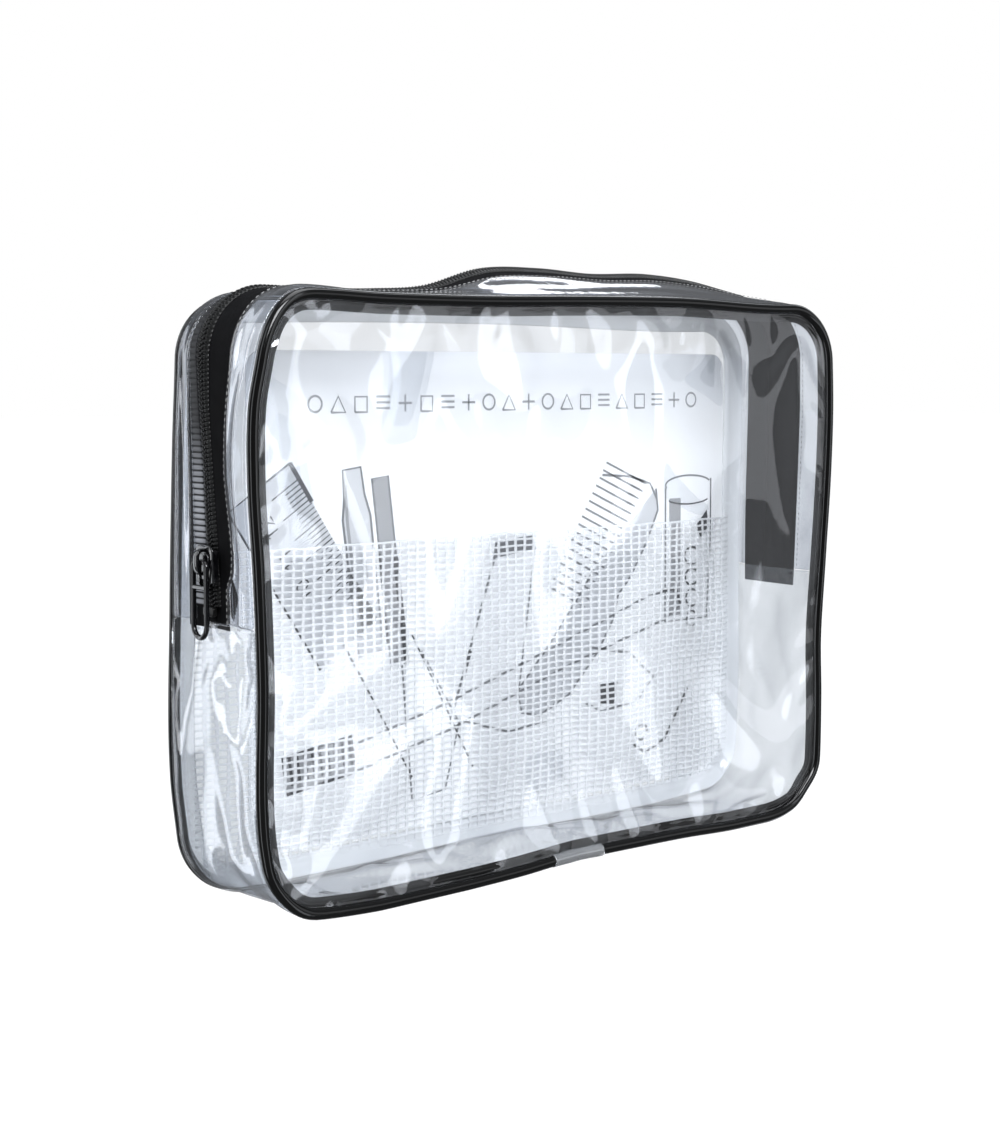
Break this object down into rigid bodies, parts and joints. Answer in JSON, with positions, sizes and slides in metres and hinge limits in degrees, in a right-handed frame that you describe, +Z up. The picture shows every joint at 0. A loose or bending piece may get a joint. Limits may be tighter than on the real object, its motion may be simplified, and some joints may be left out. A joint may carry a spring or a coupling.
{
  "type": "makeup bag",
  "caption": "Clear vinyl makeup bag with black piping, a wrap-round zipper, a white net pocket and a loose insert card; the front folds open.",
  "frame": {"origin": "centre of the underside, at the level the bag stands on", "axes": "+X across the width to the right seen from the front, +Y from the front panel to the back panel, +Z up"},
  "size_m": [0.2514, 0.0503, 0.1858],
  "materials": {
    "clear_vinyl": "clear soft vinyl sheet, glossy, with soft waves and creases",
    "piping_black": "black gloss vinyl piping cover",
    "piping_cord": "plain extruded filler cord",
    "splice_film": "clear film wrap",
    "zipper_tape": "woven polyester tape",
    "zipper_coil": "nylon coil with lock stitches",
    "slider_enamel": "black gloss enamel on a die casting and wire",
    "white_net": "coated white net with oblong cells",
    "card_white": null
  },
  "bodies": {
    "bag": {"back_panel": "clear_vinyl", "front_panel_lower": "clear_vinyl", "gusset_lower": "clear_vinyl", "gusset_strip_back": "clear_vinyl", "gusset_strip_front_lower": "clear_vinyl", "piping_cover_back": "piping_black", "piping_core_back": "piping_cord", "piping_lip_back": "clear_vinyl", "piping_cover_front_lower": "piping_black", "piping_core_front_lower": "piping_cord", "piping_lip_front_lower": "piping_black", "piping_splice": "splice_film", "zipper_tape_back": "zipper_tape", "zipper_tape_front_lower": "zipper_tape", "zipper_coil_back": "zipper_coil", "zipper_coil_front_lower": "zipper_coil", "zipper_end_stops": "zipper_coil", "net_pocket": "white_net"},
    "front_flap": {"front_panel_upper": "clear_vinyl", "gusset_strip_front_upper": "clear_vinyl", "piping_cover_front_upper": "piping_black", "piping_core_front_upper": "piping_cord", "piping_lip_front_upper": "piping_black", "zipper_tape_front_upper": "zipper_tape", "zipper_coil_front_upper": "zipper_coil"},
    "zipper_slider": {"slider_body": "slider_enamel", "slider_bridge": "slider_enamel"},
    "pull": {"zipper_pull": "slider_enamel"},
    "card": {"insert_card": "card_white"}
  },
  "joints": [
    {"name": "front_fold", "type": "hinge", "parent": "bag", "child": "front_flap", "pos_m": [0, -0.025, 0.113], "axis": [1, 0, 0], "range_deg": [0, 90]},
    {"name": "slider_run", "type": "slide", "parent": "bag", "child": "zipper_slider", "axis": [0, 0, 1], "range_m": [0, 0.0535]},
    {"name": "pull_swing", "type": "hinge", "parent": "zipper_slider", "child": "pull", "pos_m": [-0.1259, 0.0015, 0.1058], "axis": [0, 1, 0], "range_deg": [0, 170]},
    {"name": "card_slide", "type": "slide", "parent": "bag", "child": "card", "axis": [0, 0, 1], "range_m": [0, 0.01]}
  ]
}
